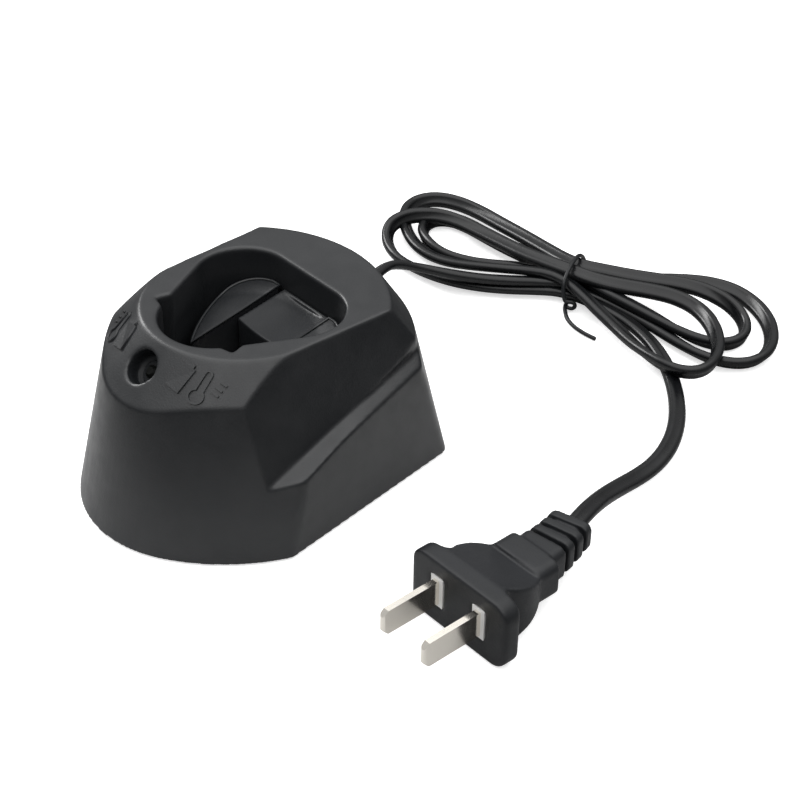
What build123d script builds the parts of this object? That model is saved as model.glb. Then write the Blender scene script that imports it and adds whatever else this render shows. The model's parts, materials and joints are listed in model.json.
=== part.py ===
from build123d import *
import os
from math import atan, cos, radians, sin, sqrt, tan

# Battery charger for a three-cell tool battery, with a mains cord and a flat two-blade plug.
# Millimetres. The origin is under the middle of the housing, on the surface it stands on.
# +Z is up, -Y is the front with the indicator, +Y is the back where the cord leaves.

os.makedirs("parts", exist_ok=True)

# ---------------------------------------------------------------- driving dimensions

body_height = 45.0          # flat top above the table
foot_height = 0.6           # rubber feet lift the housing this much
wall = 2.2                  # moulded wall thickness
axis_y = -2.7               # the back of the housing is round about this vertical axis
gap = 0.15                  # room between a piece and the recess it sits in

# skirt: rounded nose, curved flanks, straight sides that close in to the back, round back
nose_radius = 30.0
nose_y = -14.5
nose_span = 33.0            # degrees each side of the front
nose_lean = 0.222           # how much the nose closes in per millimetre of height
side_x = 32.56              # side plane at the level of the origin
side_taper = 0.13           # closing in per millimetre towards the back
side_lean = 0.015
flank_end_y = -17.4         # where the curved flank meets the straight side
flank_rise = 0.305          # how much that corner moves back per millimetre of height
back_radius = 47.2
back_lean = 0.225
front_corner_radius = 4.0
back_corner_radius = 3.0

# upper facets and the sloping ledge below them
top_half_width = 23.1       # of the flat top, at the level of the origin
top_widening = 0.035        # per millimetre towards the back
facet_lean = 0.28
ledge_height = 25.0         # inner edge of the ledge, at the level of the origin
ledge_rise = 0.343          # per millimetre towards the back
ledge_front_y = -34.0       # the ledge's cross slope is given at these two stations
ledge_back_y = 50.0
ledge_front_slope = -0.6
ledge_back_slope = 5.5
front_cone_y = -2.2         # the front slope is a cone about this vertical axis
front_cone_radius = 23.3
front_cone_slope = 0.95
back_cone_radius = 33.4
back_cone_slope = 1.56

# battery socket: outline round three cells, one to the front and two to the back
front_cell_y = -10.0
front_cell_radius = 12.8
back_cell_x = 9.7
back_cell_y = 5.0
back_cell_radius = 11.0
socket_floor = 15.0
socket_wall = 1.8
notch_point = (14.1, -16.1)     # V-shaped key notches each side of the front cell
notch_front = (10.2, -16.9)
notch_back = (12.9, -12.1)
rim_bevel = 0.5             # of the socket's rim
seat_height = 35.0          # side seats under the two rear cells, at the level of the origin
seat_rise = 0.19            # per millimetre towards the back
seat_inner_x = 9.1
seat_tip_y = -10.8          # front point of a seat, and its curved rim from there to the back
seat_rim = (14.7, -2.8)
seat_widest = (17.6, 5.5)
seat_back = (11.0, 14.9)
carrier_half_width = 8.2    # raised middle block that carries the contacts
carrier_front_y = 1.8
carrier_back_y = 15.7
carrier_height = 34.4       # at the level of the origin
carrier_rise = 0.165
carrier_rib = 0.8           # rim along the sides and the back of its top
carrier_dish = 0.7

# spring contacts in the front of the socket
contact_places = (-5.0, 0.0, 5.0)
contact_width = 3.4
contact_thickness = 0.8
contact_y = -0.9
contact_bulge = 2.0
contact_height = 25.0

# indicator lamp behind a hole in the front slope
led_y = -30.5
led_hole_radius = 4.0
led_recess = 4.2            # depth of the wide hole
led_holder_radius = 2.6
led_radius = 1.5
shroud_depth = 6.2
shroud_wall = 1.4

# base cover, feet and screws
cover_bottom = 1.0
cover_top = 3.0
boss_places = ((-22.0, -20.0), (22.0, -20.0), (-23.0, 24.0), (23.0, 24.0))
boss_radius = 3.4
boss_height = 38.0
screw_radius = 1.5
screw_length = 11.0
screw_head_radius = 2.9
screw_head_height = 1.2
foot_places = ((-25.0, -9.0), (25.0, -9.0), (-18.0, 30.0), (18.0, 30.0))
foot_radius = 4.0
foot_recess = 0.5

# circuit board on four posts, two of them with a screw
board_bottom = 5.2
board_thickness = 1.6
board_top = board_bottom + board_thickness
board_half_width = 17.5
board_front_y = -29.0
board_back_y = 36.0
post_places = ((-14.5, -13.0), (14.5, -13.0), (-14.5, 16.5), (14.5, 16.5))
post_radius = 2.8
small_screw_places = (post_places[0], post_places[3])
small_screw_radius = 1.0
small_screw_depth = 3.0
small_head_radius = 1.9
small_head_height = 1.3

# mains cord: flat twin lead, drawn as an eight-sided tube of nearly the same cross-section
cord_tube = 4.0
exit_angle = 24.0           # degrees to the left of the back
exit_z = 12.5
relief_neck = 4.4           # radius where the strain relief passes the wall
relief_collar = 5.2
relief_tip = 2.75
relief_length = 23.5
relief_grooves = 5

# the hank of cord lies flat behind the charger, tied round its waist
hank_bottom = 0.2
hank_height = 9.8
hank_bend = 5.5             # radius at the corners of its outline
hank_fall = 0.055           # its top falls to both ends by this much per millimetre
hank_bevel = 1.5
tie_x = -3.0
tie_y = 109.2
tie_span = 12.4             # of cord inside the tie
tie_width = 1.4
tie_depth = 1.0

# plug, lying on its flange with the blades towards the front
plug_x = 77.1
plug_y = -6.9
plug_z = 8.7
flange_width = 29.2
flange_height = 17.0
flange_depth = 4.6
flange_corner = 4.2
dome_radius = 9.9           # the body behind the flange is round, seen from above
dome_y = 10.6
dome_narrow = 0.42          # its top and bottom close in by this much per millimetre
collar_start = 16.6
collar_end = 22.8
collar_width = 15.2
collar_height = 9.4
neck_end = 26.6
neck_size = (11.2, 8.8)
core_size = (8.0, 5.6)
rib_sizes = ((10.9, 8.3), (10.7, 7.8), (10.5, 7.3))
rib_pitch = 3.45
rib_gap = 1.2
relief_end = 37.0
relief_bend = 0.008         # sideways sweep of the plug's strain relief
blade_spacing = 12.7
blade_length = 15.4
blade_height = 6.35
blade_thickness = 1.5
blade_rise = 0.5            # the blades sit this much above the middle of the face
blade_root = 6.0            # length held inside the plug
insert_frame = (3.6, 7.8)   # what the insert shows round each blade
insert_depth = 2.0
insert_bar = (18.0, 9.0, 1.6)   # buried bar that joins the two frames: width, height, depth
blade_bevel = 1.3           # at the upper and lower corner of the tip


# ---------------------------------------------------------------- housing form

def skirt_outline(height, inset):
    """Nose, flanks and sides of the skirt at one height, drawn in by inset and left long at the back."""
    nose = nose_radius - nose_lean * height - inset
    flank_y = flank_end_y + flank_rise * height + 0.4 * inset
    side = side_x - side_lean * height - inset
    far_y = back_radius + 8
    with BuildSketch(Plane.XY.offset(height)) as outline:
        with BuildLine():
            front = CenterArc((0, nose_y), nose, -90, nose_span)
            flank = TangentArc(front @ 1, (side - side_taper * flank_y, flank_y), tangent=front % 1)
            Polyline(flank @ 1, (side - side_taper * far_y, far_y), (0, far_y))
            mirror(about=Plane.YZ)
        make_face()
        corners = outline.vertices().sort_by(Axis.X)
        fillet([corners[0], corners[-1]], front_corner_radius - 0.6 * inset)
    return outline.sketch


def skirt(bottom, top, inset):
    """The skirt between two heights: the lofted nose and sides, closed by the cone of the round back."""
    back_bottom = back_radius - back_lean * bottom - inset
    back_top = back_radius - back_lean * top - inset
    with BuildPart() as form:
        loft([skirt_outline(bottom, inset).face(), skirt_outline(top, inset).face()], ruled=True)
        with BuildSketch(Plane.XZ.offset(-axis_y)):
            with BuildLine():
                Polyline((0, bottom), (back_bottom, bottom), (back_top, top), (0, top), close=True)
            make_face()
        revolve(axis=Axis((0, axis_y, 0), (0, 0, 1)), mode=Mode.INTERSECT)
        upright = form.edges().filter_by(lambda e: abs((e @ 1).Z - (e @ 0).Z) > (top - bottom) / 2)
        fillet(upright.sort_by(Axis.Y)[-2:], back_corner_radius - 0.5 * inset)
    return form.part


def side_notch(inset):
    """Cutter for one side: the upright facet and the sloping ledge below it."""
    stations = []
    for y, slope in ((ledge_front_y, ledge_front_slope), (ledge_back_y, ledge_back_slope)):
        edge_z = ledge_height + ledge_rise * y - 1.4 * inset
        top_x = top_half_width + top_widening * y - 1.04 * inset
        edge_x = top_x + facet_lean * (body_height - edge_z)
        over_x = top_x - facet_lean * 20
        reach = 20.0
        with BuildSketch(Plane.XZ.offset(-y)) as station:
            with BuildLine():
                Polyline(
                    (over_x, body_height + 20), (edge_x, edge_z),
                    (edge_x + reach, edge_z - slope * reach),
                    (edge_x + reach, body_height + 20), close=True,
                )
            make_face()
        stations.append(station.sketch.face())
    return loft(stations, ruled=True, mode=Mode.PRIVATE)


def cone_cutter(radius, slope, inset, centre_y, half):
    """Cutter above a cone round a vertical axis, over the front or the back half."""
    drop = inset * sqrt(1 + slope * slope)
    reach = 34.0
    with BuildPart() as cutter:
        with BuildSketch(Plane.XZ.offset(-centre_y)):
            with BuildLine():
                Polyline(
                    (radius - 3, body_height - drop + 3 * slope),
                    (radius + reach, body_height - drop - slope * reach),
                    (radius + reach, body_height + 12), (radius - 3, body_height + 12),
                    close=True,
                )
            make_face()
        revolve(axis=Axis((0, centre_y, 0), (0, 0, half)), revolution_arc=180)
    return cutter.part


def housing_form(bottom, inset):
    """The outer form of the charger, with every face moved in by inset."""
    top = body_height - inset
    with BuildPart() as form:
        add(skirt(bottom, top, inset))
        notch = side_notch(inset)
        add(notch, mode=Mode.SUBTRACT)
        add(mirror(notch, about=Plane.YZ, mode=Mode.PRIVATE), mode=Mode.SUBTRACT)
        add(cone_cutter(front_cone_radius, front_cone_slope, inset, front_cone_y, -1), mode=Mode.SUBTRACT)
        add(cone_cutter(back_cone_radius, back_cone_slope, inset, axis_y, 1), mode=Mode.SUBTRACT)
    return form.part


def socket_outline(height, margin=0.0):
    """Outline of the battery socket, three cells and two key notches, widened by margin."""
    with BuildSketch(Plane.XY.offset(height)) as outline:
        with Locations((0, front_cell_y)):
            Circle(front_cell_radius + margin)
        with Locations((-back_cell_x, back_cell_y), (back_cell_x, back_cell_y)):
            Circle(back_cell_radius + margin)
        make_hull()
        cell = Vector(0, front_cell_y)
        reach = 1 + margin / (Vector(*notch_point) - cell).length
        with BuildLine():
            corners = [cell + (Vector(*p) - cell) * reach for p in (notch_front, notch_point, notch_back)]
            Polyline(cell, *corners, close=True)
        make_face()
        mirror(about=Plane.YZ)
    return outline.sketch


def seat_outline(height, inset):
    """Outlines of the two side seats, leaf shaped, drawn in by inset."""
    with BuildSketch(Plane.XY.offset(height)) as outline:
        with BuildLine():
            rim = ThreePointArc((seat_inner_x, seat_tip_y), seat_rim, seat_widest)
            heel = TangentArc(rim @ 1, seat_back, tangent=rim % 1)
            Polyline(heel @ 1, (seat_inner_x, seat_back[1]), (seat_inner_x, seat_tip_y))
        make_face()
        if inset:
            offset(amount=-inset)
        mirror(about=Plane.YZ)
    return outline.sketch


def sloping_top(height, rise):
    """Plane that climbs towards the back, facing up, for the tops in the socket."""
    return Plane((0, 0, height), x_dir=(1, 0, 0), z_dir=(0, -rise, 1))


def export(piece, name):
    """Label a finished piece, write it and print what it holds."""
    piece.part.label = name
    export_step(piece.part, f"parts/{name}.step")
    solids = piece.part.solids()
    print(f"{name:24s} {len(solids):2d} solids  {sum(s.volume for s in solids):9.1f} mm3")


# ---------------------------------------------------------------- upper housing

# the indicator hole is square to the front slope
led_tilt = atan(front_cone_slope)
led_z = body_height - front_cone_slope * (front_cone_y - led_y - front_cone_radius)
led_axis = Plane((0, led_y, led_z), x_dir=(1, 0, 0), z_dir=(0, -sin(led_tilt), cos(led_tilt)))

# the cord leaves the back to the left of the middle, level with the table
exit_turn = radians(exit_angle)
exit_radius = back_radius - back_lean * exit_z
exit_point = Vector(-exit_radius * sin(exit_turn), axis_y + exit_radius * cos(exit_turn), exit_z)
exit_direction = Vector(-sin(exit_turn), cos(exit_turn), 0)
exit_axis = Plane(exit_point, x_dir=(0, 0, 1), z_dir=exit_direction)

with BuildPart() as screw_bosses:
    with BuildSketch(Plane.XY.offset(cover_top)):
        with Locations(*boss_places):
            Circle(boss_radius)
    extrude(amount=boss_height)
    add(housing_form(foot_height, wall / 2), mode=Mode.INTERSECT)

with BuildPart() as side_seats:
    add(seat_outline(socket_floor - socket_wall, 0))
    extrude(amount=body_height - socket_floor)
    split(bisect_by=sloping_top(seat_height, seat_rise), keep=Keep.BOTTOM)

with BuildPart() as seat_hollows:
    add(seat_outline(socket_floor - socket_wall, socket_wall))
    extrude(amount=body_height - socket_floor)
    split(bisect_by=sloping_top(seat_height - socket_wall, seat_rise), keep=Keep.BOTTOM)

with BuildPart() as upper_housing:
    add(housing_form(foot_height, 0))
    add(housing_form(foot_height - 1, wall), mode=Mode.SUBTRACT)
    # wall and floor of the battery socket
    add(socket_outline(socket_floor - socket_wall, socket_wall))
    extrude(amount=body_height - socket_floor + socket_wall)
    # shroud behind the indicator hole
    with BuildSketch(led_axis.offset(-shroud_depth)):
        Circle(led_hole_radius + shroud_wall)
    extrude(amount=shroud_depth - wall / 2)
    add(screw_bosses.part)
    add(socket_outline(socket_floor))
    extrude(amount=body_height, mode=Mode.SUBTRACT)
    # side seats with sloping tops, hollow from below
    add(side_seats.part)
    add(seat_hollows.part, mode=Mode.SUBTRACT)
    # indicator hole, stepped down to the lamp holder
    with BuildSketch(led_axis.offset(-led_recess)):
        Circle(led_hole_radius)
    extrude(amount=led_recess + 3, mode=Mode.SUBTRACT)
    with BuildSketch(led_axis.offset(-shroud_depth)):
        Circle(led_holder_radius)
    extrude(amount=shroud_depth, mode=Mode.SUBTRACT)
    # slots in the socket floor for the three contacts
    with BuildSketch(Plane.XY.offset(socket_floor - socket_wall)):
        with Locations(*[(x, contact_y) for x in contact_places]):
            Rectangle(contact_width + 2 * gap, contact_thickness + 2 * gap)
    extrude(amount=socket_wall, mode=Mode.SUBTRACT)
    # holes for the self-tapping screws in the bosses
    with BuildSketch(Plane.XY.offset(cover_top)):
        with Locations(*boss_places):
            Circle(screw_radius)
    extrude(amount=screw_length, mode=Mode.SUBTRACT)
    # hole for the cord's strain relief
    with BuildSketch(exit_axis.offset(-wall - 3)):
        Circle(relief_neck)
    extrude(amount=wall + 6, mode=Mode.SUBTRACT)
    # bevel round the rim of the socket
    add([socket_outline(body_height - rim_bevel), socket_outline(body_height, rim_bevel)])
    loft(ruled=True, mode=Mode.SUBTRACT)
export(upper_housing, "upper_housing")


# ---------------------------------------------------------------- base cover, feet and screws

with BuildPart() as base_cover:
    add(skirt(cover_bottom, cover_top, wall + gap))
    with BuildSketch(Plane.XY.offset(cover_top)):
        with Locations(*post_places):
            Circle(post_radius)
    extrude(amount=board_bottom - cover_top)
    with BuildSketch(Plane.XY.offset(cover_bottom)):
        with Locations(*foot_places):
            Circle(foot_radius + gap)
    extrude(amount=foot_recess, mode=Mode.SUBTRACT)
    with BuildSketch(Plane.XY.offset(cover_bottom)):
        with Locations(*boss_places):
            Circle(screw_head_radius + gap)
    extrude(amount=screw_head_height, mode=Mode.SUBTRACT)
    with BuildSketch(Plane.XY.offset(cover_bottom)):
        with Locations(*boss_places):
            Circle(screw_radius)
    extrude(amount=cover_top, mode=Mode.SUBTRACT)
    with BuildSketch(Plane.XY.offset(board_bottom - small_screw_depth)):
        with Locations(*small_screw_places):
            Circle(small_screw_radius)
    extrude(amount=small_screw_depth, mode=Mode.SUBTRACT)
export(base_cover, "base_cover")

with BuildPart() as rubber_feet:
    with BuildSketch():
        with Locations(*foot_places):
            Circle(foot_radius)
    extrude(amount=cover_bottom + foot_recess)
    chamfer(rubber_feet.faces().group_by(Axis.Z)[0].edges(), 0.4)
export(rubber_feet, "rubber_feet")

with BuildPart() as housing_screws:
    seat = cover_bottom + screw_head_height
    with BuildSketch(Plane.XY.offset(cover_bottom)):
        with Locations(*boss_places):
            Circle(screw_head_radius)
    extrude(amount=screw_head_height)
    with BuildSketch(Plane.XY.offset(seat)):
        with Locations(*boss_places):
            Circle(screw_radius - 0.05)
    extrude(amount=screw_length - 1)
    # cross recess in each head
    with BuildSketch(Plane.XY.offset(cover_bottom)):
        with Locations(*boss_places):
            Rectangle(3.0, 0.7)
            Rectangle(0.7, 3.0)
    extrude(amount=0.8, mode=Mode.SUBTRACT)
export(housing_screws, "housing_screws")


# ---------------------------------------------------------------- indicator lamp

led_base = shroud_depth + 0.4       # depth of the lamp's base below the slope

with BuildPart() as led_holder:
    with BuildSketch(led_axis.offset(-shroud_depth)):
        Circle(led_holder_radius - 0.03)
        Circle(led_radius + 0.03, mode=Mode.SUBTRACT)
    extrude(amount=shroud_depth - led_recess)
export(led_holder, "led_holder")

with BuildPart() as indicator_led:
    with BuildSketch(led_axis.offset(-led_base)):
        Circle(led_radius)
    extrude(amount=3.5)
    chamfer(indicator_led.faces().sort_by(Axis.Z)[-1].edges(), led_radius * 0.4)
export(indicator_led, "indicator_led")

with BuildPart() as led_leads:
    lead_y = led_y + led_base * sin(led_tilt) - 0.9
    with BuildSketch(Plane.XY.offset(board_top)):
        with Locations((-0.65, lead_y), (0.65, lead_y)):
            Circle(0.25)
    extrude(amount=led_z - board_top)
    split(bisect_by=led_axis.offset(-led_base), keep=Keep.BOTTOM)
export(led_leads, "led_leads")


# ---------------------------------------------------------------- circuit board and what it carries

with BuildPart() as circuit_board:
    with BuildSketch(Plane.XY.offset(board_bottom)):
        with Locations((0, (board_front_y + board_back_y) / 2)):
            RectangleRounded(2 * board_half_width, board_back_y - board_front_y, 2)
        with Locations(*small_screw_places):
            Circle(small_screw_radius, mode=Mode.SUBTRACT)
    extrude(amount=board_thickness)
export(circuit_board, "circuit_board")

with BuildPart() as board_screws:
    with BuildSketch(Plane.XY.offset(board_top)):
        with Locations(*small_screw_places):
            Circle(small_head_radius)
    extrude(amount=small_head_height)
    with BuildSketch(Plane.XY.offset(board_bottom - small_screw_depth + 0.5)):
        with Locations(*small_screw_places):
            Circle(small_screw_radius - 0.05)
    extrude(amount=board_thickness + small_screw_depth - 0.5)
export(board_screws, "board_screws")

# transformer: a coil on an upright bobbin, held by a pair of E-shaped cores
core_x = 4.0
core_y = 26.5
core_width = 20.0
core_height = 17.0
core_depth = 5.0
core_leg = 2.6
core_yoke = 3.0
core_bottom = board_top + 1.5
window_bottom = core_bottom + core_yoke
window_top = core_bottom + core_height - core_yoke
bobbin_flange = 1.0
bobbin_tube = 6.6
bobbin_width = core_width - 2 * core_leg - 0.4
bobbin_depth = 14.0

with BuildPart() as transformer_core:
    with BuildSketch(Plane.XZ.offset(-core_y - core_depth / 2)):
        with Locations((core_x, core_bottom + core_height / 2)):
            Rectangle(core_width, core_height)
            Rectangle(core_width - 2 * core_leg, core_height - 2 * core_yoke, mode=Mode.SUBTRACT)
            Rectangle(core_depth, core_height)
    extrude(amount=core_depth)
    chamfer(transformer_core.edges().filter_by(Axis.Y).group_by(Axis.X)[0], 0.5)
    chamfer(transformer_core.edges().filter_by(Axis.Y).group_by(Axis.X)[-1], 0.5)
export(transformer_core, "transformer_core")

with BuildPart() as transformer_bobbin:
    for flange_z in (window_bottom, window_top - bobbin_flange):
        with BuildSketch(Plane.XY.offset(flange_z)):
            with Locations((core_x, core_y)):
                RectangleRounded(bobbin_width, bobbin_depth, 1)
        extrude(amount=bobbin_flange)
    with BuildSketch(Plane.XY.offset(window_bottom)):
        with Locations((core_x, core_y)):
            RectangleRounded(bobbin_tube, bobbin_tube, 0.5)
    extrude(amount=window_top - window_bottom)
    # rails with the pins, in front of and behind the core
    with BuildSketch(Plane.XY.offset(board_top)):
        with Locations((core_x, core_y - 5), (core_x, core_y + 5)):
            Rectangle(bobbin_width, 4)
    extrude(amount=window_bottom - board_top)
    with BuildSketch(Plane.XY.offset(window_bottom)):
        with Locations((core_x, core_y)):
            Rectangle(core_depth, core_depth)
    extrude(amount=window_top, mode=Mode.SUBTRACT)
export(transformer_bobbin, "transformer_bobbin")

with BuildPart() as transformer_winding:
    with BuildSketch(Plane.XY.offset(window_bottom + bobbin_flange)):
        with Locations((core_x, core_y)):
            RectangleRounded(bobbin_width - 0.6, bobbin_depth - 0.8, 3)
            RectangleRounded(bobbin_tube, bobbin_tube, 0.5, mode=Mode.SUBTRACT)
    extrude(amount=window_top - window_bottom - 2 * bobbin_flange)
export(transformer_winding, "transformer_winding")


def standing_capacitor(name, x, y, radius, height):
    """An electrolytic can with its rolled groove near the bottom and a bevelled top."""
    with BuildPart() as can:
        with BuildSketch(Plane.XY.offset(board_top)):
            with Locations((x, y)):
                Circle(radius)
        extrude(amount=height)
        chamfer(can.edges().group_by(Axis.Z)[-1], 0.5)
        with BuildSketch(Plane.XY.offset(board_top + 1.6)):
            with Locations((x, y)):
                Circle(radius)
                Circle(radius - 0.4, mode=Mode.SUBTRACT)
        extrude(amount=0.8, mode=Mode.SUBTRACT)
    export(can, name)


standing_capacitor("input_capacitor", -12.2, 24.0, 5.0, 16.0)
standing_capacitor("output_capacitor", 13.8, -22.8, 3.15, 11.0)


def chip(name, x, y, width, depth, height, pins):
    """A moulded package with its pins down to the board on the two long sides."""
    with BuildPart() as package:
        with BuildSketch(Plane.XY.offset(board_top + 0.4)):
            with Locations((x, y)):
                Rectangle(width, depth)
        extrude(amount=height)
        chamfer(package.edges().group_by(Axis.Z)[-1], 0.3)
        with BuildSketch(Plane.XY.offset(board_top)):
            with Locations((x, y)):
                with GridLocations(width / pins, depth + 0.6, pins, 2):
                    Rectangle(0.9, 0.8)
        extrude(amount=height / 2)
    export(package, name)


chip("bridge_rectifier", -9.0, 9.5, 8.4, 6.4, 3.0, 2)
chip("controller_ic", 8.5, 9.5, 9.4, 6.4, 3.0, 4)
chip("optocoupler", 0.0, 9.5, 4.6, 6.4, 3.0, 2)


def lying_cylinder(name, x, y, radius, length, direction, caps):
    """A round axial component lying on the board, with a wider cap at each end if caps is set."""
    start = Vector(x, y, board_top + radius) - direction * (length / 2)
    with BuildPart() as body:
        with BuildSketch(Plane(start, z_dir=direction)):
            Circle(radius)
        extrude(amount=length)
        if caps:
            with BuildSketch(Plane(start + direction * 2, z_dir=direction)):
                Circle(radius)
                Circle(radius - 0.25, mode=Mode.SUBTRACT)
            extrude(amount=length - 4, mode=Mode.SUBTRACT)
        else:
            chamfer(body.faces().filter_by(GeomType.PLANE).edges(), 0.4)
    export(body, name)


lying_cylinder("fuse", -10.5, 1.5, 1.7, 9.0, Vector(1, 0, 0), True)
lying_cylinder("output_diode", 10.5, -3.0, 2.4, 8.6, Vector(0, 1, 0), False)

with BuildPart() as line_choke:
    with BuildSketch(Plane.XZ):
        with Locations((3.5 / 2, board_top + 2.8)):
            Rectangle(3.5, 5.6)
        with Locations((3.5, board_top + 2.8)):
            Rectangle(1.0, 3.6, mode=Mode.SUBTRACT)
    revolve(axis=Axis.Z)
line_choke.part = Pos(-9.5, -7, 0) * line_choke.part
export(line_choke, "line_choke")

with BuildPart() as suppression_capacitor:
    disc_axis = Vector(-1, -1, 0).normalized()
    with BuildSketch(Plane(Vector(-13.6, -23.5, board_top + 4.2) - disc_axis * 1.6, z_dir=disc_axis)):
        Circle(4.2)
    extrude(amount=3.2)
    chamfer(suppression_capacitor.faces().filter_by(GeomType.PLANE).edges(), 1.0)
export(suppression_capacitor, "suppression_capacitor")


# ---------------------------------------------------------------- contacts and their carrier

with BuildPart() as contact_carrier:
    with BuildSketch(Plane.XY.offset(socket_floor)):
        with BuildLine():
            Polyline(
                (-carrier_half_width, carrier_front_y), (carrier_half_width, carrier_front_y),
                (carrier_half_width, carrier_back_y), (-carrier_half_width, carrier_back_y), close=True,
            )
        make_face()
    extrude(amount=body_height - socket_floor)
    split(bisect_by=sloping_top(carrier_height, carrier_rise), keep=Keep.BOTTOM)
    # the top is dished and open to the front
    dish_start = Plane((0, 0, carrier_height), x_dir=(1, 0, 0), z_dir=(0, 1, carrier_rise))
    dish_length = (carrier_back_y - carrier_rib) * sqrt(1 + carrier_rise ** 2)
    with BuildSketch(dish_start):
        with BuildLine():
            edge_x = carrier_half_width - carrier_rib
            dish = ThreePointArc((-edge_x, 0), (0, carrier_dish), (edge_x, 0))
            Line(dish @ 1, dish @ 0)
        make_face()
    extrude(amount=dish_length, mode=Mode.SUBTRACT)
    # hollow from below
    with BuildSketch(Plane.XY.offset(socket_floor)):
        with Locations((0, (carrier_front_y + carrier_back_y) / 2)):
            Rectangle(2 * carrier_half_width - 2 * socket_wall, carrier_back_y - carrier_front_y - 2 * socket_wall)
    extrude(amount=carrier_height - socket_floor - 2 * socket_wall, mode=Mode.SUBTRACT)
export(contact_carrier, "contact_carrier")

contact_names = ("contact_negative", "contact_temperature", "contact_positive")
for name, x in zip(contact_names, contact_places):
    with BuildPart() as contact:
        with BuildSketch(Plane.YZ.offset(x - contact_width / 2)):
            with BuildLine():
                stem = Line((contact_y, board_top), (contact_y, socket_floor + 2))
                spring = ThreePointArc(
                    stem @ 1, (contact_y - contact_bulge, (socket_floor + contact_height) / 2),
                    (contact_y + 1.6, contact_height - 2),
                )
                Line(spring @ 1, (contact_y + 1.6, contact_height))
            trace(line_width=contact_thickness)
        extrude(amount=contact_width)
    export(contact, name)


# ---------------------------------------------------------------- plug

plug_face = Plane((plug_x, plug_y, plug_z), x_dir=(-1, 0, 0), z_dir=(0, 1, 0))
blade_places = ((-blade_spacing / 2, blade_rise), (blade_spacing / 2, blade_rise))


def bent_plane(along):
    """Plane across the plug's strain relief, which sweeps gently to one side."""
    past = max(0.0, along - collar_end + 5)
    tangent = Vector(-2 * relief_bend * past, 1, 0).normalized()
    origin = Vector(plug_x - relief_bend * past ** 2, plug_y + along, plug_z)
    return Plane(origin, x_dir=(-tangent.Y, tangent.X, 0), z_dir=tangent)


def waist(along, size):
    """Rounded section of the plug's strain relief."""
    with BuildSketch(bent_plane(along)) as section:
        RectangleRounded(*size, 2)
    return section.sketch


def insert_block():
    """Two frames at the face of the plug and the buried bar that joins them."""
    bar_width, bar_height, bar_depth = insert_bar
    with BuildPart() as block:
        with BuildSketch(plug_face):
            with Locations(*blade_places):
                Rectangle(*insert_frame)
        extrude(amount=insert_depth)
        with BuildSketch(plug_face.offset(insert_depth)):
            with Locations((0, blade_rise)):
                Rectangle(bar_width, bar_height)
        extrude(amount=bar_depth)
    return block.part


with BuildPart() as plug_body:
    half_height = flange_height / 2
    # seen from above: the flange, and the round body behind it
    with BuildSketch(Plane.XY.offset(plug_z - half_height)) as plan:
        with Locations((plug_x, plug_y + flange_depth / 2)):
            Rectangle(flange_width, flange_depth)
        with Locations((plug_x, plug_y + dome_y)):
            Circle(dome_radius)
        fillet(plan.vertices().filter_by(lambda v: abs(v.X - plug_x) > dome_radius), 1.2)
        fillet(plan.vertices().filter_by(lambda v: 0 < v.Y - plug_y - flange_depth + 0.1 < 0.2)
               .filter_by(lambda v: abs(v.X - plug_x) < dome_radius), 1.5)
    extrude(amount=flange_height)
    # seen from the front: rounded corners
    with BuildSketch(plug_face):
        RectangleRounded(flange_width, flange_height, flange_corner)
    extrude(amount=relief_end, mode=Mode.INTERSECT)
    # seen from the side: top and bottom close in behind the flange
    with BuildSketch(Plane.YZ.offset(plug_x - flange_width / 2)):
        with BuildLine():
            back_half = half_height - dome_narrow * (collar_start - flange_depth)
            back_y = plug_y + collar_start + 0.5
            Polyline(
                (plug_y, plug_z - half_height), (plug_y + flange_depth, plug_z - half_height),
                (back_y, plug_z - back_half), (back_y, plug_z + back_half),
                (plug_y + flange_depth, plug_z + half_height), (plug_y, plug_z + half_height),
                close=True,
            )
        make_face()
    extrude(amount=flange_width, mode=Mode.INTERSECT)
    with BuildSketch(plug_face.offset(collar_start)):
        RectangleRounded(collar_width, collar_height, 2.4)
    extrude(amount=collar_end - collar_start)
    # strain relief: a neck behind the collar, then a narrow core with three ribs, bent to one side
    loft([waist(collar_end - 1, neck_size).face(), waist(neck_end, neck_size).face()])
    loft([waist(neck_end - 1, core_size).face(), waist(relief_end, core_size).face()])
    for i, size in enumerate(rib_sizes):
        extrude(waist(neck_end + rib_gap + i * rib_pitch, size), amount=rib_pitch - rib_gap)
    # cavity for the blades and for the insert that holds them
    add(insert_block(), mode=Mode.SUBTRACT)
    with BuildSketch(plug_face):
        with Locations(*blade_places):
            Rectangle(blade_thickness, blade_height)
    extrude(amount=blade_root, mode=Mode.SUBTRACT)
export(plug_body, "plug_body")

with BuildPart() as plug_insert:
    add(insert_block())
    with BuildSketch(plug_face):
        with Locations(*blade_places):
            Rectangle(blade_thickness, blade_height)
    extrude(amount=blade_root, mode=Mode.SUBTRACT)
export(plug_insert, "plug_insert")

with BuildPart() as plug_blades:
    with BuildSketch(plug_face.offset(-blade_length)):
        with Locations(*blade_places):
            Rectangle(blade_thickness, blade_height)
    extrude(amount=blade_length + blade_root)
    chamfer(plug_blades.faces().sort_by(Axis.Y)[0:2].edges().filter_by(Axis.X), blade_bevel)
    chamfer(plug_blades.faces().sort_by(Axis.Y)[0:2].edges().filter_by(Axis.Z), blade_thickness / 4)
export(plug_blades, "plug_blades")


# ---------------------------------------------------------------- strain relief and cord

relief_side = Plane(exit_point, x_dir=exit_direction, z_dir=(-cos(exit_turn), -sin(exit_turn), 0))

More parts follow.
